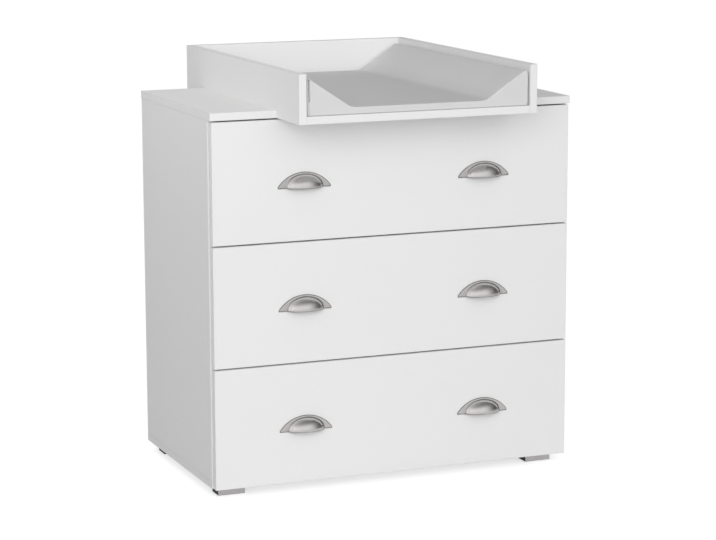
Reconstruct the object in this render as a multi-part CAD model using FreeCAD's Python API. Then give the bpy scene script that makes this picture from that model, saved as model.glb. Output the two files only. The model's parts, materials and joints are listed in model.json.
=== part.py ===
import FreeCAD, Part
import os

from FreeCAD import Vector

# A changing dresser: a three-drawer chest with a changing tray and a contoured mat on top.
# Millimetres. X runs to the right as seen from the front, the drawers open towards -Y, +Z is up.
# The origin is on the floor, under the centre of the tray.

# ---------------------------------------------------------------- driving sizes

# carcass
width = 800.0
depth = 460.0
board = 16.0
back_thickness = 3.0
back_inset = 2.0
edge_round = 0.6

# drawer fronts
drawer_count = 3
front_height = 250.0
front_thickness = 16.0
front_gap = 3.0
front_side_inset = 3.0
front_to_carcass = 2.0
drawer_travel = 300.0

# drawer boxes
box_board = 12.0
box_side_gap = 12.5
box_lift = 22.0
box_top_gap = 48.0
box_rear_gap = 41.0
bottom_thickness = 3.0
bottom_lift = 12.0
groove_depth = 6.0

# roller runners
runner_steel = 1.2
runner_setback = 2.0
runner_rear_gap = 6.0
roller_radius = 8.0
roller_width = 6.0
roller_from_end = 10.0
axle_radius = 2.0
axle_head_radius = 3.0
axle_head_thickness = 0.6
roller_stand_off = 1.2
roller_to_channel_edge = 0.4
channel_depth = 9.4
drawer_flange_reach = 9.8
under_flange_width = 10.0
stop_tab_height = 5.0
runner_screw_from_ends = 60.0

# feet
foot_width = 58.0
foot_depth = 40.0
foot_height = 22.0
foot_side_inset = 20.0
foot_front_inset = 36.0
foot_rear_inset = 18.0
foot_web = 3.0
foot_round = 1.0
foot_screw_spacing = 30.0
foot_bore_radius = 4.5
trim_thickness = 1.5
trim_end_gap = 0.4

# handles
handle_offset = 200.0
handle_width = 115.0
handle_height = 33.0
handle_tip_height = 3.5
handle_tip_round = 1.2
handle_flange = 2.0
cup_width = 80.0
cup_height = 28.5
cup_reach = 21.0
cup_wall = 1.8
handle_screw_spacing = 64.0
handle_screw_height = 6.5
handle_boss_radius = 3.6
handle_screw_radius = 1.8
handle_screw_grip = 5.5

# changing tray
tray_width = 518.0
tray_depth = 700.0
tray_wall = 16.0
tray_front_overhang = 130.0
tray_wall_above_top = 84.0

# changing mat
mat_side_gap = 3.0
mat_front_gap = 3.0
mat_rear_gap = 4.0
mat_rest_gap = 0.3
mat_side_height = 76.0
mat_flat_height = 14.0
mat_slope_width = 94.0
mat_ridge_round = 4.0
mat_valley_round = 40.0
mat_end_round = 2.5

# fasteners
cam_radius = 7.5
cam_distance = 34.0
cam_pocket_depth = 12.5
box_cam_distance = 24.0
box_cam_pocket_depth = 9.5
cam_drive_radius = 2.5
cam_drive_depth = 2.0
cam_bolt_radius = 2.2
cam_bolt_head_radius = 3.2
cam_bolt_head_length = 3.0
cam_bolt_thread_radius = 3.0
cam_bolt_thread_length = 11.0
cam_channel_radius = 4.0
cam_from_edge = 40.0
box_cam_low = 45.0
box_cam_high = 35.0
dowel_radius = 4.0
dowel_in_edge = 20.0
dowel_in_face = 10.0
dowel_from_cam = 32.0
dowel_share_of_tray_board = 0.25
short_screw_length = 12.2
short_screw_radius = 1.75
short_screw_head_radius = 3.4
short_screw_head = 0.8
tray_screw_length = 42.0
tray_screw_from_ends = 70.0
box_screw_length = 35.0
box_screw_low = 60.0
box_screw_high = 30.0
long_screw_radius = 2.0
long_screw_head_radius = 4.0
long_screw_head = 3.0
pan_head_radius = 4.0
pan_head = 2.5
nail_radius = 0.8
nail_length = 20.0
nail_head_radius = 2.0
nail_head = 0.8
nails_per_side = 6
nails_along_bottom = 5
nail_end_inset = 40.0
screw_point_length = 1.5  # in radii of the screw
screw_point_end = 0.2  # in radii of the screw

# clearances
fit = 0.05
running_gap = 0.15
channel_slack = 0.8
flange_clearance = 0.6
side_clearance = 0.1
groove_slack = 0.2
seat_slack = 0.5
cut_past = 1.0
same_place = 1e-4

# ---------------------------------------------------------------- derived places

half_width = width / 2
inner_half = half_width - board
front_y = tray_front_overhang - tray_depth / 2
back_y = front_y + depth
front_back_y = front_y + front_thickness
carcass_y = front_back_y + front_to_carcass
panel_rear_y = back_y - back_thickness

front_pitch = front_height + front_gap
bottom_z = foot_height
top_z = bottom_z + drawer_count * front_pitch + board
top_underside_z = top_z - board

tray_front_y = -tray_depth / 2
tray_rear_y = tray_depth / 2
tray_inner_half = tray_width / 2 - tray_wall
tray_top_z = top_z + tray_wall_above_top
tray_low_z = top_z - board

box_half = inner_half - box_side_gap
box_inner_half = box_half - box_board
box_rear_y = panel_rear_y - box_rear_gap
box_height = front_height - box_lift - box_top_gap

channel_height = 2 * roller_radius + channel_slack
channel_top = channel_height + runner_steel
flange_low = channel_top + flange_clearance
flange_high = flange_low + runner_steel
runner_front_y = carcass_y + runner_setback
runner_rear_y = box_rear_y - runner_rear_gap
front_roller_y = runner_front_y + roller_from_end
front_roller_z = flange_low - running_gap - roller_radius
rear_roller_y = runner_rear_y - roller_from_end
rear_roller_z = running_gap + roller_radius
front_roller_near = runner_steel + roller_stand_off
drawer_web_near = box_side_gap - runner_steel
rear_roller_far = channel_depth - roller_to_channel_edge
rear_roller_near = rear_roller_far - roller_width

X = Vector(1, 0, 0)
Y = Vector(0, 1, 0)
Z = Vector(0, 0, 1)
SIDES = {"left": -1, "right": 1}

pieces = {}
hollows = {}


# ---------------------------------------------------------------- helpers

def add(node, *solids):
    """Put solids into a node."""
    pieces.setdefault(node, []).extend(solids)


def hollow(node, *solids):
    """Take solids out of everything in a node when it is saved."""
    hollows.setdefault(node, []).extend(solids)


def block(x0, x1, y0, y1, z0, z1):
    """A box between two corners given in any order."""
    low = Vector(min(x0, x1), min(y0, y1), min(z0, z1))
    high = Vector(max(x0, x1), max(y0, y1), max(z0, z1))
    size = high - low
    return Part.makeBox(size.x, size.y, size.z, low)


def panel(x0, x1, y0, y1, z0, z1, radius=edge_round):
    """A board with every edge lightly rounded."""
    solid = block(x0, x1, y0, y1, z0, z1)
    return solid.makeFillet(radius, solid.Edges)


def rod(radius, start, direction, length):
    """A round bar from a point along a direction."""
    return Part.makeCylinder(radius, length, start, direction)


def edges_at(solid, axis, value):
    """The edges of a solid that lie in the plane where one coordinate has a value."""
    return [edge for edge in solid.Edges
            if all(abs(getattr(v.Point, axis) - value) < same_place for v in edge.Vertexes)]


def evenly(first, last, count):
    """Evenly spaced places from first to last."""
    step = (last - first) / (count - 1)
    return [first + step * index for index in range(count)]


# ---------------------------------------------------------------- fasteners

def pointed_shank(seat, direction, length, radius):
    """The shank of a screw or nail, with its point at the far end."""
    point = radius * screw_point_length
    shank = rod(radius, seat, direction, length - point)
    end = seat + direction * (length - point)
    return [shank, Part.makeCone(radius, radius * screw_point_end, point, end, direction)]


def pan_screw(seat, direction, length, radius, head_radius, head):
    """A screw with its head standing on the surface at seat and its shank along direction."""
    cap = rod(head_radius, seat - direction * head, direction, head)
    return cap.fuse(pointed_shank(seat, direction, length, radius))


def pan_screw_hole(seat, direction, length, radius):
    """The hole for a screw's shank."""
    return rod(radius + fit, seat, direction, length + fit)


def sunk_screw(seat, direction, length):
    """A long screw with its head sunk flush into the surface at seat."""
    cone = Part.makeCone(long_screw_head_radius, long_screw_radius, long_screw_head, seat, direction)
    return cone.fuse(pointed_shank(seat, direction, length, long_screw_radius))


def sunk_screw_hole(seat, direction, length):
    """The countersunk hole for a long screw."""
    cone = Part.makeCone(long_screw_head_radius + fit, long_screw_radius + fit,
                         long_screw_head, seat, direction)
    return cone.fuse(rod(long_screw_radius + fit, seat, direction, length + fit))


def short_screw(node, seat, direction, *held):
    """A short screw whose head stands on a runner or foot, and its hole in what it passes."""
    add(node, pan_screw(seat, direction, short_screw_length, short_screw_radius,
                        short_screw_head_radius, short_screw_head))
    for other in held:
        hollow(other, pan_screw_hole(seat, direction, short_screw_length, short_screw_radius))


def cam_joint(node, holder, anchor, seam, inward, to_face, half, distance, pocket):
    """A cam in the edge of one board that draws in a bolt fixed in another.

    seam is on the joint, in the middle of the holder's thickness. inward points from the joint
    into the holder, and to_face from its middle to the face where the cam is turned.
    """
    centre = seam + inward * distance
    mouth = centre + to_face * half
    cam = rod(cam_radius - fit, mouth, -to_face, pocket - fit)
    slot_start = seam + inward * (distance - cam_radius)
    slot = rod(cam_bolt_head_radius + fit, slot_start, inward, cam_radius + fit)
    drive = rod(cam_drive_radius, mouth, -to_face, cam_drive_depth)
    add(node, cam.cut([slot, drive]))

    thread = rod(cam_bolt_thread_radius, seam, -inward, cam_bolt_thread_length)
    shank = rod(cam_bolt_radius, seam, inward, distance)
    head = rod(cam_bolt_head_radius, centre - inward * cam_bolt_head_length, inward, cam_bolt_head_length)
    add(node, thread.fuse([shank, head]))

    hollow(holder, rod(cam_radius, mouth, -to_face, pocket))
    hollow(holder, rod(cam_channel_radius, seam, inward, distance))
    hollow(anchor, rod(cam_bolt_thread_radius + fit, seam, -inward, cam_bolt_thread_length + fit))


def dowel(edge_board, face_board, seam, inward):
    """A wooden dowel, deeper in the board that meets the joint with its edge."""
    start = seam - inward * dowel_in_face
    add("dowels", rod(dowel_radius, start, inward, dowel_in_face + dowel_in_edge))
    hollow(edge_board, rod(dowel_radius + fit, seam, inward, dowel_in_edge + fit))
    hollow(face_board, rod(dowel_radius + fit, seam, -inward, dowel_in_face + fit))


# ---------------------------------------------------------------- carcass

def make_carcass():
    """Two sides between a top and a bottom board, and a thin nailed back."""
    add("top_panel", panel(-half_width, half_width, front_y, back_y, top_underside_z, top_z))
    add("bottom_panel", panel(-half_width, half_width, carcass_y, panel_rear_y,
                              bottom_z, bottom_z + board))
    for side, sign in SIDES.items():
        add(f"{side}_side_panel", panel(sign * inner_half, sign * half_width, carcass_y, panel_rear_y,
                                        bottom_z + board, top_underside_z))
        join_side(f"{side}_side_panel", sign)
    add("back_panel", block(back_inset - half_width, half_width - back_inset, panel_rear_y, back_y,
                            bottom_z + back_inset, top_underside_z))
    nail_back()


def join_side(side_panel, sign):
    """Cams, bolts and dowels at the top and bottom edges of one side board."""
    middle = sign * (half_width - board / 2)
    joints = ((bottom_z + board, Z, "bottom_panel"), (top_underside_z, -Z, "top_panel"))
    cam_places = ((carcass_y + cam_from_edge, dowel_from_cam),
                  (panel_rear_y - cam_from_edge, -dowel_from_cam))
    for seam_z, inward, anchor in joints:
        for place_y, to_dowel in cam_places:
            seam = Vector(middle, place_y, seam_z)
            cam_joint("cam_fittings", side_panel, anchor, seam, inward, X * -sign,
                      board / 2, cam_distance, cam_pocket_depth)
            dowel(side_panel, anchor, seam + Y * to_dowel, inward)


def nail_back():
    """Nails round the edge of the thin back."""
    nail_x = half_width - board / 2
    side_z = evenly(bottom_z + board + nail_end_inset, top_underside_z - nail_end_inset, nails_per_side)
    bottom_x = evenly(nail_end_inset + board - half_width, half_width - board - nail_end_inset,
                      nails_along_bottom)
    places = [(sign * nail_x, z, f"{side}_side_panel") for side, sign in SIDES.items() for z in side_z]
    places += [(x, bottom_z + board / 2, "bottom_panel") for x in bottom_x]
    for x, z, held in places:
        seat = Vector(x, back_y, z)
        add("back_panel_nails", pan_screw(seat, -Y, nail_length, nail_radius,
                                          nail_head_radius, nail_head))
        for node in ("back_panel", held):
            hollow(node, pan_screw_hole(seat, -Y, nail_length, nail_radius))


# ---------------------------------------------------------------- feet

def make_feet():
    """Four low plastic blocks screwed under the bottom board, the front two faced with a strip."""
    places = {"front": front_y + foot_front_inset, "rear": back_y - foot_rear_inset - foot_depth}
    for row, near_y in places.items():
        for side, sign in SIDES.items():
            outer = sign * (half_width - foot_side_inset)
            inner = outer - sign * foot_width
            body_y = near_y + trim_thickness if row == "front" else near_y
            name = f"foot_{row}_{side}"
            add(name, panel(outer, inner, body_y, near_y + foot_depth, 0, foot_height, foot_round))
            if row == "front":
                add("foot_trims", panel(outer, inner, near_y, body_y,
                                        trim_end_gap, foot_height - trim_end_gap, trim_end_gap))
            screw_foot(name, (outer + inner) / 2, near_y + foot_depth / 2)


def screw_foot(name, middle_x, middle_y):
    """Two screws up through a foot, their heads deep in its bores."""
    for shift in (-foot_screw_spacing / 2, foot_screw_spacing / 2):
        seat = Vector(middle_x + shift, middle_y, foot_height - foot_web)
        short_screw("short_screws", seat, Z, name, "bottom_panel")
        hollow(name, rod(foot_bore_radius, Vector(seat.x, seat.y, 0), Z, foot_height - foot_web))


# ---------------------------------------------------------------- runners

def inward_x(sign, distance):
    """A place measured from the inner face of a side board towards the middle."""
    return sign * (inner_half - distance)


def axle(sign, near, far, collar_near, collar_far, head_near, y, z):
    """A riveted axle along X with a collar at its root and a head at its free end."""
    def bar(radius, start, end):
        low = min(inward_x(sign, start), inward_x(sign, end))
        return rod(radius, Vector(low, y, z), X, abs(end - start))

    head_far = head_near + axle_head_thickness
    return bar(axle_radius, near, far).fuse([bar(axle_head_radius, collar_near, collar_far),
                                             bar(axle_head_radius, head_near, head_far)])


def roller(sign, near, y, z):
    """A plastic roller that turns on its axle."""
    low = min(inward_x(sign, near), inward_x(sign, near + roller_width))
    start = Vector(low, y, z)
    bore = rod(axle_radius + fit, start, X, roller_width)
    return rod(roller_radius, start, X, roller_width).cut(bore)


def cabinet_runner(sign, base_z):
    """The channel on a side board: web, flanges, stop tabs and the front roller's axle."""
    def bar(near, far, y0, y1, low, high):
        return block(inward_x(sign, near), inward_x(sign, far), y0, y1, base_z + low, base_z + high)

    flange_start_y = front_roller_y + roller_radius + runner_steel
    tab_gap = seat_slack + roller_radius
    front_tab_y = rear_roller_y - drawer_travel - tab_gap
    rear_tab_y = rear_roller_y + tab_gap
    tab_low = channel_height - stop_tab_height
    web = bar(0, runner_steel, runner_front_y, runner_rear_y, -runner_steel, channel_top)
    parts = [bar(0, channel_depth, runner_front_y, runner_rear_y, -runner_steel, 0),
             bar(0, channel_depth, flange_start_y, runner_rear_y, channel_height, channel_top),
             bar(0, channel_depth, front_tab_y - runner_steel, front_tab_y, tab_low, channel_height),
             bar(0, channel_depth, rear_tab_y, rear_tab_y + runner_steel, tab_low, channel_height)]
    head_near = front_roller_near + roller_width + side_clearance
    pin = axle(sign, 0, head_near, 0, front_roller_near - side_clearance, head_near,
               front_roller_y, base_z + front_roller_z)
    return web.fuse(parts + [pin]).removeSplitter()


def drawer_runner(sign, base_z):
    """The rail on a drawer side: web, a flange over the roller, one under the side, and an axle."""
    def bar(near, far, low, high):
        return block(inward_x(sign, near), inward_x(sign, far), runner_front_y, runner_rear_y,
                     base_z + low, base_z + high)

    web = bar(drawer_web_near, box_side_gap, -runner_steel, flange_high)
    over = bar(drawer_web_near - drawer_flange_reach, box_side_gap, flange_low, flange_high)
    under = bar(drawer_web_near, box_side_gap + under_flange_width, -runner_steel, 0)
    head_near = rear_roller_near - side_clearance - axle_head_thickness
    pin = axle(sign, head_near, drawer_web_near, rear_roller_far + side_clearance, drawer_web_near,
               head_near, rear_roller_y, base_z + rear_roller_z)
    return web.fuse([over, under, pin]).removeSplitter()


def make_runners(number, base_z):
    """Both runners of one drawer, with their rollers and screws."""
    screw_places = (runner_front_y + runner_screw_from_ends, runner_rear_y - runner_screw_from_ends)
    screw_z = base_z + roller_radius
    for side, sign in SIDES.items():
        add(f"cabinet_runners_{number}", cabinet_runner(sign, base_z))
        add(f"drawer_{number}_runners", drawer_runner(sign, base_z))
        add(f"cabinet_rollers_{number}", roller(sign, front_roller_near, front_roller_y,
                                                base_z + front_roller_z))
        add(f"drawer_{number}_rollers", roller(sign, rear_roller_near, rear_roller_y,
                                               base_z + rear_roller_z))
        for y in screw_places:
            seat = Vector(inward_x(sign, runner_steel), y, screw_z)
            short_screw("short_screws", seat, X * sign, f"cabinet_runners_{number}", f"{side}_side_panel")
            seat = Vector(inward_x(sign, drawer_web_near), y, screw_z)
            short_screw(f"drawer_{number}_screws", seat, X * -sign,
                        f"drawer_{number}_runners", f"drawer_{number}_{side}_side")


# ---------------------------------------------------------------- drawers

def make_drawer(number, front_z):
    """A drawer: its front, box boards, thin bottom, fittings and two cup handles."""
    base_z = front_z + box_lift
    box_top = base_z + box_height
    front = f"drawer_{number}_front"
    rear = f"drawer_{number}_back"
    add(front, panel(front_side_inset - half_width, half_width - front_side_inset,
                     front_y, front_back_y, front_z, front_z + front_height))
    add(rear, panel(-box_inner_half, box_inner_half, box_rear_y - box_board, box_rear_y,
                    base_z, box_top))
    for side, sign in SIDES.items():
        name = f"drawer_{number}_{side}_side"
        add(name, panel(sign * box_inner_half, sign * box_half, front_back_y, box_rear_y,
                        base_z, box_top))
        join_box_side(number, name, sign, base_z, box_top)
    make_drawer_bottom(number, base_z)
    make_runners(number, base_z)
    handle_z = front_z + front_height / 2 - handle_height / 2
    for side, sign in SIDES.items():
        make_handle(number, f"drawer_{number}_{side}_handle", sign * handle_offset, handle_z)


def join_box_side(number, name, sign, base_z, box_top):
    """Cams that pull a drawer side to the front, and screws that hold it to the back."""
    middle = sign * (box_half - box_board / 2)
    cams = f"drawer_{number}_cam_fittings"
    for z in (base_z + box_cam_low, box_top - box_cam_high):
        cam_joint(cams, name, f"drawer_{number}_front", Vector(middle, front_back_y, z), Y,
                  X * -sign, box_board / 2, box_cam_distance, box_cam_pocket_depth)
    for z in (base_z + box_screw_low, box_top - box_screw_high):
        seat = Vector(sign * box_half, box_rear_y - box_board / 2, z)
        add(f"drawer_{number}_screws", sunk_screw(seat, X * -sign, box_screw_length))
        for node in (name, f"drawer_{number}_back"):
            hollow(node, sunk_screw_hole(seat, X * -sign, box_screw_length))


def make_drawer_bottom(number, base_z):
    """The thin bottom board, held in grooves on all four sides."""
    reach = groove_depth - groove_slack
    low = base_z + bottom_lift
    high = low + bottom_thickness
    near_y = front_back_y
    far_y = box_rear_y - box_board
    add(f"drawer_{number}_bottom", block(-box_inner_half - reach, box_inner_half + reach,
                                         near_y - reach, far_y + reach, low, high))
    groove_low = low - groove_slack / 2
    groove_high = high + groove_slack / 2
    ring = block(-box_inner_half - groove_depth, box_inner_half + groove_depth,
                 near_y - groove_depth, far_y + groove_depth, groove_low, groove_high)
    for part in ("front", "back", "left_side", "right_side"):
        hollow(f"drawer_{number}_{part}", ring)


def quarter_cup(half, reach, height):
    """A quarter of an ellipsoid in front of the XZ plane and above the floor, flat on both."""
    ball = Part.makeSphere(1.0, Vector(0, 0, 0), X, -90, 90, 90)
    scale = FreeCAD.Matrix()
    scale.scale(half, reach, height)
    return ball.transformGeometry(scale)


def make_handle(number, name, middle_x, low_z):
    """A half-moon cup pull with a flat flange, and the two screws that hold it from behind."""
    half = handle_width / 2
    tip = handle_tip_height
    corners = [Vector(-half, 0, tip), Vector(-half, 0, 0), Vector(half, 0, 0), Vector(half, 0, tip)]
    outline = [Part.makeLine(a, b) for a, b in zip(corners, corners[1:])]
    outline.append(Part.Arc(corners[3], Vector(0, 0, handle_height), corners[0]).toShape())
    flange = Part.Face(Part.Wire(outline)).extrude(Y * -handle_flange)
    tips = [edge for edge in flange.Edges
            if all(abs(abs(v.Point.x) - half) < fit for v in edge.Vertexes)
            and abs(edge.Vertexes[0].Point.y - edge.Vertexes[1].Point.y) > fit]
    flange = flange.makeFillet(handle_tip_round, tips)
    outer = quarter_cup(cup_width / 2, cup_reach, cup_height)
    inner = quarter_cup(cup_width / 2 - cup_wall, cup_reach - cup_wall, cup_height - cup_wall)
    shell = flange.fuse(outer).cut(inner)
    bosses = []
    screws = []
    for sign in SIDES.values():
        root = Vector(sign * handle_screw_spacing / 2, 0, handle_screw_height)
        bosses.append(rod(handle_boss_radius, root, -Y, cup_reach).common(outer))
        seat = root + Y * front_thickness
        length = front_thickness + handle_screw_grip
        screws.append(pan_screw(seat, -Y, length, handle_screw_radius, pan_head_radius, pan_head))
        hollow_bar = pan_screw_hole(seat, -Y, length, handle_screw_radius)
        hollow_bar.translate(Vector(middle_x, front_y, low_z))
        hollow(name, hollow_bar)
        hollow(f"drawer_{number}_front", hollow_bar)
    body = shell.fuse(bosses)
    for solid in [body] + screws:
        solid.translate(Vector(middle_x, front_y, low_z))
    add(name, body)
    add(f"drawer_{number}_screws", *screws)


# ---------------------------------------------------------------- changing tray

def make_tray():
    """Side walls that stand on the top board and reach past it, two floor boards and a rear wall."""
    for side, sign in SIDES.items():
        outer = sign * tray_width / 2
        inner = sign * tray_inner_half
        wall = block(outer, inner, tray_front_y, tray_rear_y, tray_low_z, tray_top_z)
        wall = wall.makeFillet(edge_round, edges_at(wall, "z", tray_top_z) + edges_at(wall, "z", tray_low_z))
        notch = block(outer + sign * cut_past, inner - sign * cut_past, front_y, back_y,
                      tray_low_z - cut_past, top_z)
        add(f"tray_{side}_wall", wall.cut(notch))
        for seat_y in (front_y + tray_screw_from_ends, back_y - tray_screw_from_ends):
            seat = Vector((outer + inner) / 2, seat_y, top_underside_z)
            add("tray_screws", sunk_screw(seat, Z, tray_screw_length))
            for node in ("top_panel", f"tray_{side}_wall"):
                hollow(node, sunk_screw_hole(seat, Z, tray_screw_length))
    rear_wall_y = tray_rear_y - tray_wall
    floors = {"front": (tray_front_y, front_y), "rear": (back_y, rear_wall_y)}
    for row, (near_y, far_y) in floors.items():
        name = f"tray_{row}_board"
        add(name, panel(-tray_inner_half, tray_inner_half, near_y, far_y, tray_low_z, top_z))
        from_edge = (far_y - near_y) * dowel_share_of_tray_board
        for y in (near_y + from_edge, far_y - from_edge):
            pin_to_walls(name, y, top_z - board / 2)
    add("tray_back_wall", panel(-tray_inner_half, tray_inner_half, rear_wall_y, tray_rear_y,
                                tray_low_z, tray_top_z))
    from_edge = (tray_top_z - tray_low_z) * dowel_share_of_tray_board
    for z in (tray_low_z + from_edge, tray_top_z - from_edge):
        pin_to_walls("tray_back_wall", tray_rear_y - tray_wall / 2, z)


def pin_to_walls(name, y, z):
    """A dowel from each end of a board into the tray's side walls."""
    for side, sign in SIDES.items():
        dowel(name, f"tray_{side}_wall", Vector(sign * tray_inner_half, y, z), X * -sign)


# ---------------------------------------------------------------- changing mat

def make_mat():
    """A foam mat with a flat middle between two sloping sides, the same all along its length."""
    half = tray_inner_half - mat_side_gap
    valley = half - mat_slope_width
    low = top_z + mat_rest_gap
    flat = low + mat_flat_height
    ridge = low + mat_side_height
    start_y = tray_front_y + mat_front_gap
    end_y = tray_rear_y - tray_wall - mat_rear_gap
    outline = [(-half, low), (half, low), (half, ridge), (valley, flat), (-valley, flat), (-half, ridge)]
    points = [Vector(x, start_y, z) for x, z in outline]
    mat = Part.Face(Part.makePolygon(points + points[:1])).extrude(Y * (end_y - start_y))
    mat = mat.makeFillet(mat_ridge_round, edges_at(mat, "z", ridge))
    middle_edges = [edge for edge in edges_at(mat, "z", flat)
                    if abs(edge.Vertexes[0].Point.y - edge.Vertexes[1].Point.y) > mat_end_round]
    mat = mat.makeFillet(mat_valley_round, middle_edges)
    floor_edges = edges_at(mat, "z", low)
    ends = [edge for edge in edges_at(mat, "y", start_y) + edges_at(mat, "y", end_y)
            if not any(edge.isSame(other) for other in floor_edges)]
    add("changing_mat", mat.makeFillet(mat_end_round, ends))


# ---------------------------------------------------------------- build and save

def save_all():
    """Write one file per node."""
    os.makedirs("parts", exist_ok=True)
    for name in sorted(pieces):
        shapes = pieces[name]
        if name in hollows:
            shapes = [shape.cut(hollows[name]) for shape in shapes]
        solids = [solid for shape in shapes for solid in shape.Solids]
        compound = Part.makeCompound(solids)
        compound.exportStep(f"parts/{name}.step")
        print(f"{name}: {len(solids)} of {len(pieces[name])}, {compound.Volume / 1000:.2f} cm3,"
              f" valid {all(solid.isValid() for solid in solids)}")


make_carcass()
make_feet()
for index in range(drawer_count):
    make_drawer(drawer_count - index, bottom_z + index * front_pitch)
make_tray()
make_mat()
save_all()
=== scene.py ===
import json
import math

import bmesh
import bpy
from mathutils import Matrix, Vector


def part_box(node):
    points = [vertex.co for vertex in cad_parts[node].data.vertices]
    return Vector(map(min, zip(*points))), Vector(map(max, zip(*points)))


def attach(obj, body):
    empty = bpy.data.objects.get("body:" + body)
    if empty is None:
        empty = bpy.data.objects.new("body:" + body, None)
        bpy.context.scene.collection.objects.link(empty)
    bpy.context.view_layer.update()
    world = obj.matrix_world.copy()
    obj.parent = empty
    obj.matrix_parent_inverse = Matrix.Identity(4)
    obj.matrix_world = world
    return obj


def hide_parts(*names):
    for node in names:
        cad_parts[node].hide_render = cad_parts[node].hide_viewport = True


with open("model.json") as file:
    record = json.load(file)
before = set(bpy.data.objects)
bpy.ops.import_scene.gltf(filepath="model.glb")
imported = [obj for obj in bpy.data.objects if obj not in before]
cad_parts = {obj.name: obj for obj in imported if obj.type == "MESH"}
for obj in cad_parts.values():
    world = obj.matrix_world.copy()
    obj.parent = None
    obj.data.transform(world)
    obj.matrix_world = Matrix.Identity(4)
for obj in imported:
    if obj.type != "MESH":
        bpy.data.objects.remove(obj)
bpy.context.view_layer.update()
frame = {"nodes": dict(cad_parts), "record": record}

# The looks of a changing dresser: white boards, brushed nickel cup handles and a wipe-clean mat.
# Metres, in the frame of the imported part: X right, the drawers open towards -Y, Z up.

MM = 0.001
SIDES = ("left", "right")
DRAWERS = (1, 2, 3)


# ---------------------------------------------------------------- camera, light and floor

# Angles in degrees, the lens in millimetres. The yaw turns the view from +Y towards +X.
CAMERA_PLACE = (-1.9362, -4.7831, 1.3629)
CAMERA_YAW = 22.1055
CAMERA_DOWN = 10.4066
CAMERA_ROLL = -0.1816
CAMERA_LENS = 122.34

# A level of 1.0 is the strength of a plain white world. A lamp's level is its power spread over a
# sphere that reaches from the lamp to its aim, so a lamp set nearer lights the object as much.
FILL = 0.08
FRONT_LIGHT = 2.15
FRONT_TOWARDS = (-0.10, -0.97, 0.05)
TOP_LIGHT = 0.34
TOP_TOWARDS = (0.0, 0.0, 1.0)
BACK_LIGHT = 1.00
BACK_TOWARDS = (0.65, 0.75, 0.0)
SOFT_BOX_FOCUS = 3.0
LAMP_AIM = (0.0, 0.0, 0.45)
KEY_LIGHT = 0.157
KEY_TOWARDS = (-0.50, -0.80, 0.31)
KEY_DISTANCE = 4.5
KEY_SIZE = 2.0
LEFT_LIGHT = 0.119
LEFT_TOWARDS = (-0.70, 0.0, 0.71)
LEFT_DISTANCE = 1.6
LEFT_SIZE = 0.8

# How the studio that reflections see darkens with a direction's Z, X and Y, as (coordinate, level).
STUDIO_ABOVE = ((0.30, 1.0), (0.85, 0.24))
STUDIO_RIGHT = ((0.35, 1.0), (0.95, 0.10))
STUDIO_BEHIND = ((0.30, 1.0), (0.90, 0.57))
LEFT_MIRROR_GLOW = 0.50
FLOOR_MIRROR_GLOW = 0.30

FLOOR_COLOUR = (0.70, 0.70, 0.70)
FLOOR_ROUGHNESS = 0.9
FLOOR_GLOW = 0.66
FLOOR_REACH = 30.0
WHITE = (1.0, 1.0, 1.0, 1.0)


def make_camera():
    """A long lens from the front left, a little above the tray, looking slightly down."""
    yaw, down, roll = (math.radians(a) for a in (CAMERA_YAW, CAMERA_DOWN, CAMERA_ROLL))
    forward = Vector((math.sin(yaw) * math.cos(down), math.cos(yaw) * math.cos(down), -math.sin(down)))
    level = Vector((math.cos(yaw), -math.sin(yaw), 0.0))
    upright = level.cross(forward)
    right = level * math.cos(roll) + upright * math.sin(roll)
    up = upright * math.cos(roll) - level * math.sin(roll)
    data = bpy.data.cameras.new("camera")
    data.lens = CAMERA_LENS
    camera = bpy.data.objects.new("camera", data)
    turned = Matrix((right, up, -forward)).transposed().to_4x4()
    camera.matrix_world = Matrix.Translation(CAMERA_PLACE) @ turned
    bpy.context.scene.collection.objects.link(camera)
    bpy.context.scene.camera = camera


def make_lamp(name, level, towards, distance, size):
    """A square soft lamp that lights the object but shows in no reflection."""
    data = bpy.data.lights.new(name, "AREA")
    data.shape = "SQUARE"
    data.size = size
    data.energy = level * 4 * math.pi * distance ** 2
    lamp = bpy.data.objects.new(name, data)
    direction = Vector(towards).normalized()
    lamp.location = Vector(LAMP_AIM) + direction * distance
    lamp.rotation_mode = "QUATERNION"
    lamp.rotation_quaternion = direction.to_track_quat("Z", "Y")
    lamp.visible_camera = False
    lamp.visible_glossy = False
    bpy.context.scene.collection.objects.link(lamp)


def soft_box(tree, direction, towards, level):
    """The light of one broad soft box: its level where it stands, fading to the sides."""
    aim = tuple(Vector(towards).normalized())
    product = add_node(tree, "ShaderNodeVectorMath", {0: direction, 1: aim}, operation="DOT_PRODUCT")
    facing = maths(tree, "MAXIMUM", product.outputs["Value"], 0.0)
    return maths(tree, "MULTIPLY", maths(tree, "POWER", facing, SOFT_BOX_FOCUS), level)


def studio_light(tree, direction):
    """What lights the object: a faint fill and three soft boxes, the strongest in front."""
    light = FILL
    boxes = ((FRONT_TOWARDS, FRONT_LIGHT), (TOP_TOWARDS, TOP_LIGHT), (BACK_TOWARDS, BACK_LIGHT))
    for towards, level in boxes:
        light = maths(tree, "ADD", soft_box(tree, direction, towards, level), light)
    return light


def studio_reflected(tree, direction):
    """What reflections see: a white studio, darker above, at the right and behind, lit at the left."""
    x, y, z = add_node(tree, "ShaderNodeSeparateXYZ", {0: direction}).outputs
    above = ramp(tree, z, STUDIO_ABOVE, smooth=True)
    right = ramp(tree, x, STUDIO_RIGHT, smooth=True)
    behind = ramp(tree, y, STUDIO_BEHIND, smooth=True)
    room = maths(tree, "MULTIPLY", maths(tree, "MULTIPLY", above, right), behind)
    return maths(tree, "ADD", room, soft_box(tree, direction, LEFT_TOWARDS, LEFT_MIRROR_GLOW))


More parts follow.
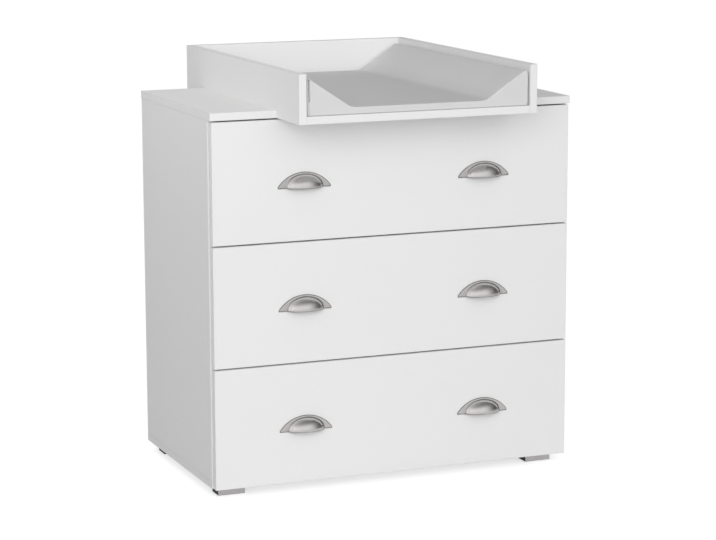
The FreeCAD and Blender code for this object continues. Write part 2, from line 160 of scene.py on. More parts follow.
def make_world():
    """The studio: soft light on the object, its own look in reflections, and white behind the object."""
    world = bpy.data.worlds.new("studio")
    world.use_nodes = True
    bpy.context.scene.world = world
    tree = world.node_tree
    background = tree.nodes["Background"]
    direction = add_node(tree, "ShaderNodeTexCoord").outputs["Generated"]
    path = add_node(tree, "ShaderNodeLightPath").outputs
    mirrored = maths(tree, "ADD", path["Is Glossy Ray"], path["Is Transmission Ray"])
    light = studio_light(tree, direction)
    unseen = blend_value(tree, mirrored, light, studio_reflected(tree, direction))
    strength = blend_value(tree, path["Is Camera Ray"], unseen, 1.0)
    tree.links.new(strength, background.inputs["Strength"])
    background.inputs["Color"].default_value = WHITE


def make_floor():
    """A plain pale floor: white to the camera, pale in reflections, and it keeps the shadow."""
    mesh = bpy.data.meshes.new("floor")
    corners = [(-1, -1), (1, -1), (1, 1), (-1, 1)]
    mesh.from_pydata([(x * FLOOR_REACH, y * FLOOR_REACH, 0.0) for x, y in corners], [], [(0, 1, 2, 3)])
    floor = bpy.data.objects.new("floor", mesh)
    bpy.context.scene.collection.objects.link(floor)
    material, tree, shader = new_material("floor_white", FLOOR_COLOUR, roughness=FLOOR_ROUGHNESS)
    shader.inputs["Specular IOR Level"].default_value = 0.0
    shader.inputs["Emission Color"].default_value = WHITE
    path = add_node(tree, "ShaderNodeLightPath").outputs
    mirrored = maths(tree, "ADD", path["Is Glossy Ray"], path["Is Transmission Ray"])
    glow = maths(tree, "MULTIPLY", mirrored, FLOOR_MIRROR_GLOW)
    glow = maths(tree, "MULTIPLY_ADD", path["Is Camera Ray"], FLOOR_GLOW, glow)
    tree.links.new(glow, shader.inputs["Emission Strength"])
    mesh.materials.append(material)


# ---------------------------------------------------------------- node helpers

def add_node(tree, kind, inputs=None, **settings):
    """A shader node with its settings and its inputs, each a number or another node's output."""
    made = tree.nodes.new(kind)
    for name, value in settings.items():
        setattr(made, name, value)
    for name, value in (inputs or {}).items():
        if isinstance(value, bpy.types.NodeSocket):
            tree.links.new(value, made.inputs[name])
        else:
            made.inputs[name].default_value = value
    return made


def maths(tree, operation, *values):
    """The outcome of one operation on numbers or outputs."""
    return add_node(tree, "ShaderNodeMath", dict(enumerate(values)), operation=operation).outputs[0]


def vectors(tree, operation, *values):
    """The outcome of one operation on vectors."""
    made = add_node(tree, "ShaderNodeVectorMath", dict(enumerate(values)), operation=operation)
    return made.outputs[0]


def blend_value(tree, share, low, high):
    """From low to high as share goes from 0 to 1."""
    made = add_node(tree, "ShaderNodeMix", {0: share, 2: low, 3: high}, data_type="FLOAT")
    return made.outputs[0]


def ramp(tree, value, stops, smooth=False):
    """The value that two stops (from, to) give, clamped outside them."""
    (start, first), (end, last) = stops
    return add_node(tree, "ShaderNodeMapRange", {0: value, 1: start, 2: end, 3: first, 4: last},
                    interpolation_type="SMOOTHSTEP" if smooth else "LINEAR").outputs[0]


def object_place(tree):
    """The point in the part's own frame, which stays with the piece as it moves."""
    return add_node(tree, "ShaderNodeTexCoord").outputs["Object"]


def z_of(tree, vector):
    """A vector's Z."""
    return add_node(tree, "ShaderNodeSeparateXYZ", {0: vector}).outputs["Z"]


def noise(tree, per_metre, detail=2.0, stretch=None):
    """Cloudy noise from 0 to 1 with that many features in a metre, fewer where a stretch is small."""
    place = object_place(tree)
    if stretch:
        place = vectors(tree, "MULTIPLY", place, stretch)
    return add_node(tree, "ShaderNodeTexNoise", {"Vector": place, "Scale": per_metre, "Detail": detail},
                    noise_dimensions="3D").outputs[0]


def set_bump(tree, shader, height, depth, strength):
    """Small relief of a given depth in metres."""
    made = add_node(tree, "ShaderNodeBump", {"Strength": strength, "Distance": depth, "Height": height})
    tree.links.new(made.outputs["Normal"], shader.inputs["Normal"])


def set_roughness(tree, shader, value, stops):
    """The roughness that two stops give to a value."""
    tree.links.new(ramp(tree, value, stops), shader.inputs["Roughness"])


def vary_colour(tree, shader, share, first, second):
    """The base colour between two colours."""
    ends = {0: share, 6: (*first, 1.0), 7: (*second, 1.0)}
    made = add_node(tree, "ShaderNodeMix", ends, data_type="RGBA")
    tree.links.new(made.outputs[2], shader.inputs["Base Color"])


def new_material(name, colour, metallic=0.0, roughness=0.5):
    """A material, its nodes and its shader."""
    material = bpy.data.materials.new(name)
    material.use_nodes = True
    tree = material.node_tree
    shader = tree.nodes["Principled BSDF"]
    shader.inputs["Base Color"].default_value = (*colour, 1.0)
    shader.inputs["Metallic"].default_value = metallic
    shader.inputs["Roughness"].default_value = roughness
    return material, tree, shader


# ---------------------------------------------------------------- materials

BOARD_SIZE = "board_size"
# The vertex attribute that carries the painted shade in the cup pulls' crease and on their rim.
PAINTED_SHADE = "painted_shade"

# A shade is how far something shifts a material from its first colour towards its second.
# A board's lines and edges fade between two stops, each (distance, share).
BAND_THICKNESS = 1.1 * MM
BAND_LINE = ((0.08 * MM, 1.0), (0.22 * MM, 0.0))
BAND_LINE_SHADE = 0.10
# Painted shade along every board edge, standing for the shadow in the joints between boards.
BOARD_PAINTED_SHADOW = ((0.1 * MM, 1.0), (0.7 * MM, 0.0))
BOARD_PAINTED_SHADOW_SHADE = 0.40
BOARD_HANDLED = ((0.0, 1.0), (5.0 * MM, 0.0))
BOARD_HANDLED_SHADE = 0.02
BOARD_HANDLED_ROUGHER = 0.3
BOARD_CLOUD_SHADE = 0.05

# How dark the painted shade makes the nickel in the crease and on the rim.
PAINTED_EDGE_SHADE = 0.80
NICKEL_CLOUD_SHADE = 0.11

# The mat's cover counts as facing up between two stops, each (the normal's Z, share); it gets painted
# shade where it faces up, and more painted shade where it also lies low in the middle.
MAT_PAINTED_TOP_STOPS = ((0.6, 0.0), (0.9, 1.0))
MAT_PAINTED_TOP_SHADE = 0.08
# Painted shade low in the mat's middle, where the tray's walls shade the flat.
MAT_PAINTED_HOLLOW_RISE = 25.0 * MM
MAT_PAINTED_HOLLOW_SHADE = 0.24
MAT_PEBBLES_PER_METRE = 800.0
MAT_PEBBLE_SHADE = -0.045
MAT_CLOUD_SHADE = 0.15


def edge_distance(tree):
    """How far a point on a board is from the board's nearest edge, in metres."""
    place = add_node(tree, "ShaderNodeTexCoord").outputs["Generated"]
    size = add_node(tree, "ShaderNodeAttribute", attribute_type="OBJECT", attribute_name=BOARD_SIZE)
    middle = (0.5, 0.5, 0.5)
    from_middle = vectors(tree, "ABSOLUTE", vectors(tree, "SUBTRACT", place, middle))
    share = vectors(tree, "SUBTRACT", middle, from_middle)
    to_faces = vectors(tree, "MULTIPLY", share, size.outputs["Vector"])
    x, y, z = add_node(tree, "ShaderNodeSeparateXYZ", {0: to_faces}).outputs
    larger = maths(tree, "MAXIMUM", x, y)
    smaller = maths(tree, "MINIMUM", x, y)
    return maths(tree, "MAXIMUM", smaller, maths(tree, "MINIMUM", larger, z))


def white_board_material():
    """Satin white melamine: a pearl grain, faint clouding, the edge band's line and painted shade along
    every edge for the shadow in the joints.
    """
    material, tree, shader = new_material("white_board", (0.86, 0.86, 0.86))
    to_edge = edge_distance(tree)
    to_line = maths(tree, "ABSOLUTE", maths(tree, "SUBTRACT", to_edge, BAND_THICKNESS))
    band_line = ramp(tree, to_line, BAND_LINE, smooth=True)
    handled = ramp(tree, to_edge, BOARD_HANDLED, smooth=True)
    # Painted shade: every edge of the board is darkened, as if shadowed in a joint.
    painted_edge_shadow = ramp(tree, to_edge, BOARD_PAINTED_SHADOW, smooth=True)
    darker = maths(tree, "MULTIPLY", noise(tree, per_metre=5.0, detail=3.0), BOARD_CLOUD_SHADE)
    darker = maths(tree, "MULTIPLY_ADD", band_line, BAND_LINE_SHADE, darker)
    darker = maths(tree, "MULTIPLY_ADD", handled, BOARD_HANDLED_SHADE, darker)
    darker = maths(tree, "MULTIPLY_ADD", painted_edge_shadow, BOARD_PAINTED_SHADOW_SHADE, darker)
    vary_colour(tree, shader, darker, (0.872, 0.872, 0.870), (0.520, 0.520, 0.515))
    patches = noise(tree, per_metre=30.0)
    patches = maths(tree, "MULTIPLY_ADD", handled, BOARD_HANDLED_ROUGHER, patches)
    set_roughness(tree, shader, patches, [(0.2, 0.46), (1.1, 0.62)])
    shader.inputs["Specular IOR Level"].default_value = 0.4
    grain = noise(tree, per_metre=1500.0, detail=1.0)
    set_bump(tree, shader, maths(tree, "SUBTRACT", grain, band_line), depth=0.03 * MM, strength=0.5)
    return material


def thin_board_material():
    """Lacquered fibreboard: off white, with the short pressed fibres just showing."""
    material, tree, shader = new_material("thin_board", (0.80, 0.80, 0.79), roughness=0.6)
    fibres = noise(tree, per_metre=260.0, detail=4.0, stretch=(1.0, 1.0, 0.25))
    darker = ramp(tree, fibres, [(0.35, 0.0), (0.75, 1.0)])
    vary_colour(tree, shader, darker, (0.82, 0.82, 0.81), (0.74, 0.735, 0.72))
    set_bump(tree, shader, fibres, depth=0.06 * MM, strength=0.6)
    return material


def nickel_material():
    """Nickel plate brushed along the handle: fine streaks, and painted shade in the crease round the cup's
    foot and on the rim.
    """
    material, tree, shader = new_material("nickel", (0.64, 0.62, 0.615), metallic=1.0)
    streaks = noise(tree, per_metre=900.0, detail=3.0, stretch=(0.05, 1.0, 1.0))
    painted_shade = add_node(tree, "ShaderNodeAttribute", attribute_name=PAINTED_SHADE).outputs["Fac"]
    cloud = maths(tree, "MULTIPLY", noise(tree, per_metre=70.0), NICKEL_CLOUD_SHADE)
    # Painted shade: darker in the crease round the cup's foot and along the rim, standing for shade and
    # dark reflections there.
    darker = maths(tree, "MULTIPLY_ADD", painted_shade, PAINTED_EDGE_SHADE, cloud)
    vary_colour(tree, shader, darker, (0.66, 0.64, 0.635), (0.12, 0.116, 0.115))
    set_roughness(tree, shader, streaks, [(0.3, 0.20), (0.7, 0.27)])
    shader.inputs["Anisotropic"].default_value = 0.35
    set_bump(tree, shader, streaks, depth=0.02 * MM, strength=0.12)
    return material


def silver_strip_material():
    """A satin silver strip with long fine lines."""
    material, tree, shader = new_material("silver_strip", (0.60, 0.575, 0.585), metallic=1.0)
    lines = noise(tree, per_metre=1100.0, stretch=(0.03, 1.0, 1.0))
    vary_colour(tree, shader, lines, (0.66, 0.635, 0.645), (0.56, 0.535, 0.545))
    set_roughness(tree, shader, lines, [(0.3, 0.42), (0.7, 0.55)])
    set_bump(tree, shader, lines, depth=0.02 * MM, strength=0.3)
    return material


def black_plastic_material():
    """Matt black moulded plastic with a spark-eroded grain."""
    material, tree, shader = new_material("black_plastic", (0.016, 0.016, 0.017))
    grain = noise(tree, per_metre=900.0, detail=3.0)
    vary_colour(tree, shader, grain, (0.014, 0.014, 0.015), (0.024, 0.024, 0.025))
    set_roughness(tree, shader, grain, [(0.3, 0.5), (0.7, 0.66)])
    set_bump(tree, shader, grain, depth=0.08 * MM, strength=0.5)
    return material


def white_steel_material():
    """White powder coat, with its fine orange peel."""
    material, tree, shader = new_material("white_steel", (0.80, 0.80, 0.79))
    peel = noise(tree, per_metre=420.0, detail=1.0)
    vary_colour(tree, shader, peel, (0.82, 0.82, 0.81), (0.77, 0.77, 0.76))
    set_roughness(tree, shader, peel, [(0.3, 0.30), (0.7, 0.42)])
    set_bump(tree, shader, peel, depth=0.05 * MM, strength=0.5)
    return material


def roller_material():
    """Smooth natural nylon, with faint turned rings of wear."""
    material, tree, shader = new_material("roller_plastic", (0.78, 0.78, 0.75))
    wear = noise(tree, per_metre=700.0, stretch=(1.0, 0.3, 0.3))
    vary_colour(tree, shader, wear, (0.80, 0.80, 0.77), (0.72, 0.72, 0.69))
    set_roughness(tree, shader, wear, [(0.3, 0.32), (0.7, 0.48)])
    set_bump(tree, shader, wear, depth=0.02 * MM, strength=0.3)
    return material


def zinc_material():
    """Die-cast zinc: dull, with a slightly mottled skin."""
    material, tree, shader = new_material("zinc", (0.52, 0.53, 0.54), metallic=1.0)
    mottle = noise(tree, per_metre=380.0, detail=4.0)
    vary_colour(tree, shader, mottle, (0.58, 0.59, 0.60), (0.46, 0.47, 0.48))
    set_roughness(tree, shader, mottle, [(0.3, 0.38), (0.7, 0.56)])
    set_bump(tree, shader, mottle, depth=0.04 * MM, strength=0.4)
    return material


def plated_steel_material():
    """Zinc-plated screws and nails: bright, with a faint yellow and blue bloom."""
    material, tree, shader = new_material("plated_steel", (0.62, 0.62, 0.63), metallic=1.0)
    bloom = noise(tree, per_metre=160.0)
    vary_colour(tree, shader, bloom, (0.66, 0.65, 0.61), (0.58, 0.60, 0.64))
    set_roughness(tree, shader, bloom, [(0.3, 0.24), (0.7, 0.36)])
    return material


def beech_material():
    """Plain beech dowel with its short dark flecks."""
    material, tree, shader = new_material("beech", (0.62, 0.42, 0.25), roughness=0.6)
    flecks = noise(tree, per_metre=600.0, detail=3.0, stretch=(1.0, 1.0, 0.2))
    darker = ramp(tree, flecks, [(0.4, 0.0), (0.7, 1.0)])
    vary_colour(tree, shader, darker, (0.64, 0.44, 0.27), (0.46, 0.28, 0.15))
    set_bump(tree, shader, flecks, depth=0.05 * MM, strength=0.5)
    return material


def mat_cover_material():
    """Pale wipe-clean film over foam: a fine pebbled grain, painted shade on its upward faces, and more
    painted shade low in its middle.
    """
    material, tree, shader = new_material("mat_cover", (0.68, 0.68, 0.68))
    pattern = {"Vector": object_place(tree), "Scale": MAT_PEBBLES_PER_METRE}
    cells = add_node(tree, "ShaderNodeTexVoronoi", pattern, feature="DISTANCE_TO_EDGE").outputs["Distance"]
    pebble = ramp(tree, cells, [(0.0, 0.0), (0.25, 1.0)], smooth=True)
    height = z_of(tree, object_place(tree))
    facing = z_of(tree, add_node(tree, "ShaderNodeTexCoord").outputs["Normal"])
    # Painted shade on the cover's upward faces, and more where they lie low in the middle.
    painted_top_mask = ramp(tree, facing, MAT_PAINTED_TOP_STOPS)
    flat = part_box("changing_mat")[0].z + MAT_FLAT
    low = ramp(tree, height, [(flat, 1.0), (flat + MAT_PAINTED_HOLLOW_RISE, 0.0)], smooth=True)
    painted_hollow_shade = maths(tree, "MULTIPLY", low, painted_top_mask)
    cloud = noise(tree, per_metre=9.0, detail=3.0)
    darker = maths(tree, "MULTIPLY", pebble, MAT_PEBBLE_SHADE)
    darker = maths(tree, "MULTIPLY_ADD", cloud, MAT_CLOUD_SHADE, darker)
    darker = maths(tree, "MULTIPLY_ADD", painted_top_mask, MAT_PAINTED_TOP_SHADE, darker)
    darker = maths(tree, "MULTIPLY_ADD", painted_hollow_shade, MAT_PAINTED_HOLLOW_SHADE, darker)
    vary_colour(tree, shader, darker, (0.730, 0.730, 0.730), (0.450, 0.450, 0.452))
    set_roughness(tree, shader, pebble, [(0.0, 0.78), (1.0, 0.64)])
    shader.inputs["Specular IOR Level"].default_value = 0.3
    set_bump(tree, shader, pebble, depth=0.05 * MM, strength=0.4)
    return material


MATERIALS = {
    "white_board": white_board_material,
    "thin_board": thin_board_material,
    "nickel": nickel_material,
    "silver_strip": silver_strip_material,
    "black_plastic": black_plastic_material,
    "white_steel": white_steel_material,
    "roller_plastic": roller_material,
    "zinc": zinc_material,
    "plated_steel": plated_steel_material,
    "beech": beech_material,
    "mat_cover": mat_cover_material,
}


def paint_nodes(materials):
    """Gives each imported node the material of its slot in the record, and the size of its box."""
    for subpart in frame["record"]["subparts"]:
        name = subpart["node"]
        piece = frame["nodes"][name]
        piece.data.materials.clear()
        piece.data.materials.append(materials[subpart["material_slot"]])
        low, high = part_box(name)
        piece[BOARD_SIZE] = list(high - low)


# ---------------------------------------------------------------- meshes

WELD_DISTANCE = 0.002 * MM


def new_piece(name, body, material, vertices, faces, painted_shade=()):
    """A smooth mesh that rides on a body, with a share of painted shade for each vertex if it has any."""
    mesh = bpy.data.meshes.new(name)
    mesh.from_pydata([tuple(v) for v in vertices], [], faces)
    work = bmesh.new()
    work.from_mesh(mesh)
    if painted_shade:
        layer = work.verts.layers.float.new(PAINTED_SHADE)
        for vertex, share in zip(work.verts, painted_shade):
            vertex[layer] = share
    bmesh.ops.remove_doubles(work, verts=work.verts, dist=WELD_DISTANCE)
    bmesh.ops.recalc_face_normals(work, faces=work.faces)
    work.to_mesh(mesh)
    work.free()
    mesh.shade_smooth()
    mesh.materials.append(material)
    piece = bpy.data.objects.new(name, mesh)
    bpy.context.scene.collection.objects.link(piece)
    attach(piece, body)
    return piece


def spread(first, last, count):
    """Evenly spaced numbers, both ends included."""
    return [first + (last - first) * i / (count - 1) for i in range(count)]


def arc(centre, radius, start, end, steps):
    """Points on an arc in a plane, angles in degrees."""
    angles = [math.radians(a) for a in spread(start, end, steps + 1)]
    return [(centre[0] + radius * math.cos(a), centre[1] + radius * math.sin(a)) for a in angles]


def resample(points, count):
    """A line's points again, evenly spaced along it."""
    lengths = [0.0]
    for a, b in zip(points, points[1:]):
        lengths.append(lengths[-1] + math.dist(a, b))
    found = []
    index = 0
    for place in spread(0.0, lengths[-1], count):
        while index < len(points) - 2 and lengths[index + 1] < place:
            index += 1
        share = (place - lengths[index]) / (lengths[index + 1] - lengths[index])
        found.append(tuple(a + (b - a) * share for a, b in zip(points[index], points[index + 1])))
    return found


# ---------------------------------------------------------------- cup handles

CUP_HALF = 40.0 * MM
CUP_REACH = 21.0 * MM
CUP_HEIGHT = 28.5 * MM
CUP_WALL = 1.8 * MM
FLANGE_FACE = 2.0 * MM
FLANGE_TIP = 3.5 * MM
FILLET = 1.6 * MM
BORDER = 0.9 * MM
RIM_LINE = 0.9 * MM
BACK_GAP = 0.05 * MM
BOSS_RADIUS = 3.6 * MM
BOSS_APART = 64.0 * MM
BOSS_UP = 6.5 * MM
BOSS_SIDES = 24
HANDLE_COLUMNS = 56
OUTLINE_STEPS = 96
DOME_ROWS = 20
FILLET_ROWS = 5
FLANGE_ROWS = 4
BORDER_STEPS = 6
CORNER_SHARES = (0.25, 0.5, 0.75)
# How much painted shade the rows of the crease round the cup's foot and the rim get.
CREASE_PAINTED_SHADE = (0.1, 0.25, 0.5, 0.55, 0.4, 0.15)
RIM_PAINTED_SHADE = 0.9


def flange_outline(half, height):
    """The flange's edge from its lower right tip over the top to its lower left tip, even steps."""
    inner_half = half - BORDER
    top = height - BORDER
    rise = top - FLANGE_TIP
    radius = (inner_half ** 2 + rise ** 2) / (2 * rise)
    sweep = math.degrees(math.asin(inner_half / radius))
    over = arc((0.0, top - radius), radius, 90.0 - sweep, 90.0 + sweep, OUTLINE_STEPS)
    return resample([(inner_half, BORDER)] + over + [(-inner_half, BORDER)], HANDLE_COLUMNS)


def dome_point(angle, turn, half, up, reach):
    """A point on a quarter of an ellipsoid: angle round its front middle, turn 0 at its foot."""
    scale = math.cos(turn)
    across = half * math.cos(angle) * scale
    height = BORDER + up * math.sin(angle) * scale
    return (across, reach * math.sin(turn), height)


def flat_points(start, end, out, shares):
    """Points on the flat flange, at these shares of the way from the cup's foot to the flange's edge."""
    flats = [start.lerp(end, share) for share in shares]
    return [(flat.x, out, flat.y) for flat in flats]


def cup_front(angle, outline_point):
    """The outside of the cup along one line, from its front middle to the flange's edge."""
    up = CUP_HEIGHT - BORDER
    low_turn = math.asin((FLANGE_FACE + FILLET) / CUP_REACH)
    turns = spread(math.pi / 2, low_turn, DOME_ROWS)
    line = [dome_point(angle, turn, CUP_HALF, up, CUP_REACH) for turn in turns]
    outward = Vector((math.cos(angle) / CUP_HALF, math.sin(angle) / up)).normalized()
    for turn in spread(0.0, math.pi / 2, FILLET_ROWS)[1:]:
        out = FLANGE_FACE + FILLET * (1 - math.sin(turn))
        beyond = FILLET * (1 - math.cos(turn))
        x, _, z = dome_point(angle, math.asin(out / CUP_REACH), CUP_HALF, up, CUP_REACH)
        line.append((x + outward.x * beyond, out, z + outward.y * beyond))
    start = Vector((line[-1][0], line[-1][2]))
    end = Vector(outline_point)
    shares = spread(0.0, 1.0, FLANGE_ROWS - 1)[1:-1] + [1.0 - RIM_LINE / (end - start).length, 1.0]
    return line + flat_points(start, end, FLANGE_FACE, shares)


def front_painted_shade():
    """How much painted shade each row of the outside gets: the crease round the cup's foot, and the rim.
    """
    crease = list(CREASE_PAINTED_SHADE)
    plain_rows = DOME_ROWS + FILLET_ROWS - 1 - len(crease)
    return [0.0] * plain_rows + crease + [0.0] * (FLANGE_ROWS - 2) + [RIM_PAINTED_SHADE]


def cup_back(angle, outline_point):
    """The inside of the cup along the same line, and then the back of the flange."""
    up = CUP_HEIGHT - BORDER - CUP_WALL
    half = CUP_HALF - CUP_WALL
    reach = CUP_REACH - CUP_WALL
    turns = spread(math.pi / 2, math.asin(BACK_GAP / reach), DOME_ROWS)
    line = [dome_point(angle, turn, half, up, reach) for turn in turns]
    start = Vector((line[-1][0], line[-1][2]))
    shares = spread(0.0, 1.0, FILLET_ROWS + FLANGE_ROWS - 1)[1:]
    return line + flat_points(start, Vector(outline_point), BACK_GAP, shares)


def border_directions(outline, rows):
    """Column, row and outward direction round the cup's whole edge: mouth, outline, mouth."""
    last = len(outline) - 1
    normals = []
    for i in range(last + 1):
        a = outline[max(i - 1, 0)]
        b = outline[min(i + 1, last)]
        normals.append(Vector((b[1] - a[1], 0, a[0] - b[0])).normalized())
    down = Vector((0, 0, -1))
    ring = [(0, row, down) for row in range(rows)]
    ring += [(0, rows - 1, down.slerp(normals[0], share)) for share in CORNER_SHARES]
    ring += [(i, rows - 1, normals[i]) for i in range(last + 1)]
    ring += [(last, rows - 1, normals[-1].slerp(down, share)) for share in CORNER_SHARES]
    ring += [(last, row, down) for row in reversed(range(rows))]
    return ring


def border_line(near, far, outward):
    """The rounding from the outside to the inside at one place of the border."""
    middle = (near + far) / 2
    turns = spread(0.0, math.pi, BORDER_STEPS + 1)
    return [middle + (near - middle) * math.cos(t) + outward * BORDER * math.sin(t) for t in turns]


def add_grid(mesh, lines, line_painted_shade):
    """Adds the faces between lines of as many points each, with the painted shade of each point."""
    vertices, faces, painted_shade = mesh
    start = len(vertices)
    rows = len(lines[0])
    for line, shares in zip(lines, line_painted_shade):
        vertices.extend(line)
        painted_shade.extend(shares)
    for i in range(len(lines) - 1):
        for j in range(rows - 1):
            a = start + i * rows + j
            faces.append((a, a + 1, a + rows + 1, a + rows))


def add_boss(mesh, middle):
    """Adds a round boss for a screw inside the cup, from the back to the middle of the cup's wall."""
    vertices, faces, painted_shade = mesh
    cup_out = CUP_REACH * math.sqrt(1 - (middle / CUP_HALF) ** 2 - (BOSS_UP / CUP_HEIGHT) ** 2)
    far = cup_out - CUP_WALL / 2
    rings = [(0.0, BACK_GAP), (BOSS_RADIUS, BACK_GAP), (BOSS_RADIUS, far), (0.0, far)]
    start = len(vertices)
    for radius, out in rings:
        for k in range(BOSS_SIDES):
            angle = 2 * math.pi * k / BOSS_SIDES
            vertices.append((middle + radius * math.cos(angle), out, BOSS_UP + radius * math.sin(angle)))
            painted_shade.append(0.0)
    for ring in range(len(rings) - 1):
        for k in range(BOSS_SIDES):
            a = start + ring * BOSS_SIDES + k
            b = start + ring * BOSS_SIDES + (k + 1) % BOSS_SIDES
            faces.append((a, b, b + BOSS_SIDES, a + BOSS_SIDES))


def handle_mesh(half, height):
    """A cup pull as one closed skin with its painted shade: outside, inside and a rounded border all
    round.
    """
    outline = flange_outline(half, height)
    angles = spread(0.0, math.pi, HANDLE_COLUMNS)
    front = [cup_front(angle, point) for angle, point in zip(angles, outline)]
    back = [cup_back(angle, point) for angle, point in zip(angles, outline)]
    rows = len(front[0])
    border = [border_line(Vector(front[i][row]), Vector(back[i][row]), outward)
              for i, row, outward in border_directions(outline, rows)]
    mesh = ([], [], [])
    mouth = [RIM_PAINTED_SHADE] * rows
    add_grid(mesh, front, [mouth] + [front_painted_shade()] * (HANDLE_COLUMNS - 2) + [mouth])
    add_grid(mesh, back, [[0.0] * rows] * HANDLE_COLUMNS)
    add_grid(mesh, border, [[RIM_PAINTED_SHADE] * (BORDER_STEPS + 1)] * len(border))
    for middle in (-BOSS_APART / 2, BOSS_APART / 2):
        add_boss(mesh, middle)
    return mesh


def make_handles(material):
    """The six cup pulls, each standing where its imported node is."""
    for number in DRAWERS:
        for side in SIDES:
            node = f"drawer_{number}_{side}_handle"
            low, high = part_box(node)
            stand = Vector(((low.x + high.x) / 2, high.y, low.z))
            vertices, faces, painted_shade = handle_mesh((high.x - low.x) / 2, high.z - low.z)
            placed = [stand + Vector((across, -out, up)) for across, out, up in vertices]
            name = f"cup_pull_{number}_{side}"
            piece = new_piece(name, f"drawer_{number}", material, placed, faces, painted_shade)
            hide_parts(node)


# ---------------------------------------------------------------- changing mat

MAT_SIDE = 76.0 * MM
MAT_FLAT = 14.0 * MM
MAT_SLOPE = 94.0 * MM
MAT_RIDGE_ROUND = {"left": 1.5 * MM, "right": 6.0 * MM}
MAT_VALLEY_ROUND = 36.0 * MM
MAT_END_ROUND = 2.0 * MM
MAT_FOOT_ROUND = 3.0 * MM
MAT_STEP = 9.0 * MM
MAT_ARC_STEPS = 8
MAT_FOOT_STEPS = 4
MAT_END_STEPS = 4
MAT_SIDE_POINTS = 8
MAT_RINGS = 76
MAT_PUFF = 1.6 * MM
MAT_PUFF_FADE = 45.0 * MM
MAT_MIDDLE_PUFF = 0.3


def rounded(before, corner, after, radius, steps):
    """The arc that rounds one corner of a line."""
    a = (Vector(before) - Vector(corner)).normalized()
    b = (Vector(after) - Vector(corner)).normalized()
    half_angle = a.angle(b) / 2
    reach = radius / math.tan(half_angle)
    centre = Vector(corner) + (a + b).normalized() * (radius / math.sin(half_angle))
    first = Vector(corner) + a * reach - centre
    last = Vector(corner) + b * reach - centre
    return [centre + first.slerp(last, share) * radius for share in spread(0.0, 1.0, steps + 1)]


def straight(start, end):
    """Points between two places, about one step apart, ends left out."""
    count = max(2, round((end - start).length / MAT_STEP) + 1)
    return [start.lerp(end, share) for share in spread(0.0, 1.0, count)[1:-1]]


def half_section(half, low, ridge_round):
    """The right half of the section: its top from the ridge to the middle, and its side going up."""
    flat = low + MAT_FLAT
    foot = (half, low)
    peak = (half, low + MAT_SIDE)
    dip = (half - MAT_SLOPE, flat)
    ridge_arc = rounded(foot, peak, dip, ridge_round, MAT_ARC_STEPS)
    dip_arc = rounded(peak, dip, (MAT_SLOPE - half, flat), MAT_VALLEY_ROUND, MAT_ARC_STEPS)
    foot_arc = rounded((0.0, low), foot, peak, MAT_FOOT_ROUND, MAT_FOOT_STEPS)
    crest = MAT_ARC_STEPS // 2
    top = ridge_arc[crest:] + straight(ridge_arc[-1], dip_arc[0]) + dip_arc
    top += straight(dip_arc[-1], Vector((0.0, flat)))
    upright = [foot_arc[-1].lerp(ridge_arc[0], share) for share in spread(0.0, 1.0, MAT_SIDE_POINTS)]
    side = foot_arc[MAT_FOOT_STEPS // 2:-1] + upright[:-1] + ridge_arc[:crest + 1]
    return top, side


def mirrored(points):
    """Points of the right half, on the left."""
    return [Vector((-point.x, point.y)) for point in points]


def mat_section(half, low):
    """The mat's section as a grid of columns from side to side, each from its foot to its top."""
    left_top, left_side = map(mirrored, half_section(half, low, MAT_RIDGE_ROUND["left"]))
    right_top, right_side = half_section(half, low, MAT_RIDGE_ROUND["right"])
    crests = left_top + [Vector((0.0, low + MAT_FLAT))] + right_top[::-1]
    reach = half - MAT_FOOT_ROUND
    shares = spread(0.0, 1.0, len(left_side))
    columns = [left_side]
    for crest in crests[1:-1]:
        base = Vector((max(-reach, min(reach, crest.x)), low))
        columns.append([base.lerp(crest, share) for share in shares])
    return columns + [right_side]


def section_loop(columns):
    """The grid's edge as column and row numbers: along the foot, up, back over the top and down."""
    last = len(columns) - 1
    rows = len(columns[0]) - 1
    loop = [(i, 0) for i in range(last)]
    loop += [(last, row) for row in range(rows)]
    loop += [(i, rows) for i in range(last, 0, -1)]
    loop += [(0, row) for row in range(rows, 0, -1)]
    return loop


def loop_normals(edge):
    """Which way is out at each point of a closed line."""
    normals = []
    for index in range(len(edge)):
        along = edge[(index + 1) % len(edge)] - edge[index - 1]
        normals.append(Vector((along.y, -along.x)).normalized())
    return normals


def mat_rings(start, end):
    """Where the skin has its rings along Y, each with how far the rounded ends draw it in."""
    turns = spread(0.0, math.pi / 2, MAT_END_STEPS + 1)[:-1]
    ends = [(MAT_END_ROUND * (1 - math.sin(t)), MAT_END_ROUND * (1 - math.cos(t))) for t in turns]
    rings = [(inset, start + along) for inset, along in ends]
    rings += [(0.0, y) for y in spread(start + MAT_END_ROUND, end - MAT_END_ROUND, MAT_RINGS)]
    rings += [(inset, end - along) for inset, along in reversed(ends)]
    return rings


def puff_share(point, half, low):
    """Where the foam stands full: most on the middle of each slope, none at the foot and sides."""
    if point.y < low + MAT_FLAT / 2 or abs(point.x) > half - max(MAT_RIDGE_ROUND.values()):
        return 0.0
    valley = half - MAT_SLOPE
    if abs(point.x) > valley:
        return math.sin(math.pi * (abs(point.x) - valley) / MAT_SLOPE)
    return MAT_MIDDLE_PUFF * math.cos(math.pi / 2 * point.x / valley)


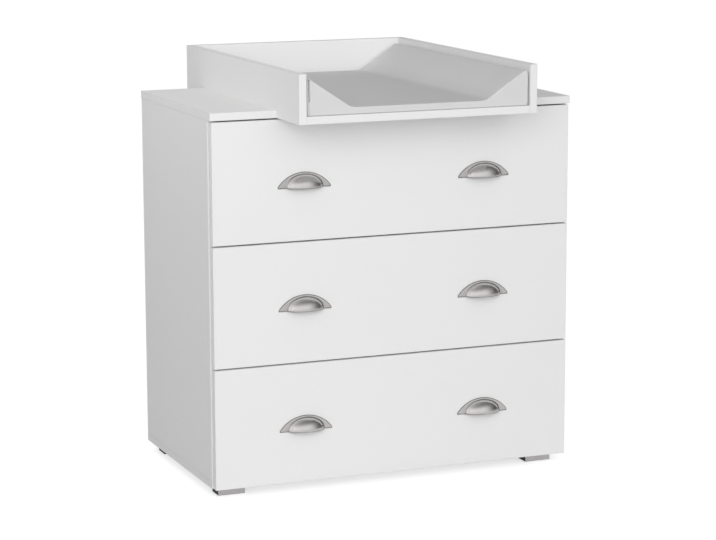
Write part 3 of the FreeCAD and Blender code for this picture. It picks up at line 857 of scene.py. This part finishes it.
def mat_skin(edge, rings, shares):
    """The skin between the mat's ends: the section's edge at each ring, pushed out by the foam."""
    start, end = rings[0][1], rings[-1][1]
    normals = loop_normals(edge)
    vertices = []
    for inset, y in rings:
        fade = min(1.0, min(y - start, end - y) / MAT_PUFF_FADE)
        fullness = MAT_PUFF * math.sin(fade * math.pi / 2)
        for point, normal, share in zip(edge, normals, shares):
            placed = point - normal * inset + normal * (fullness * share)
            vertices.append((placed.x, y, placed.y))
    count = len(edge)
    faces = []
    for ring in range(len(rings) - 1):
        for index in range(count):
            a = ring * count + index
            b = ring * count + (index + 1) % count
            faces.append((a, b, b + count, a + count))
    return vertices, faces


def add_end(vertices, faces, columns, ring_start):
    """Closes one end of the mat with the section's grid, sewn to the ring of skin that is there."""
    number = {place: ring_start + index for index, place in enumerate(section_loop(columns))}
    last = len(columns) - 1
    rows = len(columns[0]) - 1
    for i in range(1, last):
        foot = Vector(vertices[number[i, 0]])
        crest = Vector(vertices[number[i, rows]])
        for row in range(1, rows):
            number[i, row] = len(vertices)
            vertices.append(foot.lerp(crest, row / rows))
    for i in range(last):
        for row in range(rows):
            corners = ((i, row), (i + 1, row), (i + 1, row + 1), (i, row + 1))
            faces.append(tuple(number[corner] for corner in corners))


def make_mat(material):
    """The contoured mat: flat middle, sloping sides, soft ends and a slight fullness of its foam."""
    low_corner, high_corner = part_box("changing_mat")
    half = (high_corner.x - low_corner.x) / 2
    low = low_corner.z
    columns = mat_section(half, low)
    edge = [columns[i][row] for i, row in section_loop(columns)]
    rings = mat_rings(low_corner.y, high_corner.y)
    vertices, faces = mat_skin(edge, rings, [puff_share(point, half, low) for point in edge])
    for ring in (0, len(rings) - 1):
        add_end(vertices, faces, columns, ring * len(edge))
    piece = new_piece("mat_cover", "mat", material, vertices, faces)
    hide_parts("changing_mat")


# ---------------------------------------------------------------- the whole scene

make_camera()
make_lamp("key", KEY_LIGHT, KEY_TOWARDS, KEY_DISTANCE, KEY_SIZE)
make_lamp("left_lamp", LEFT_LIGHT, LEFT_TOWARDS, LEFT_DISTANCE, LEFT_SIZE)
make_world()
make_floor()
materials = {name: make() for name, make in MATERIALS.items()}
paint_nodes(materials)
make_handles(materials["nickel"])
make_mat(materials["mat_cover"])

bpy.context.scene.view_settings.view_transform = "Standard"
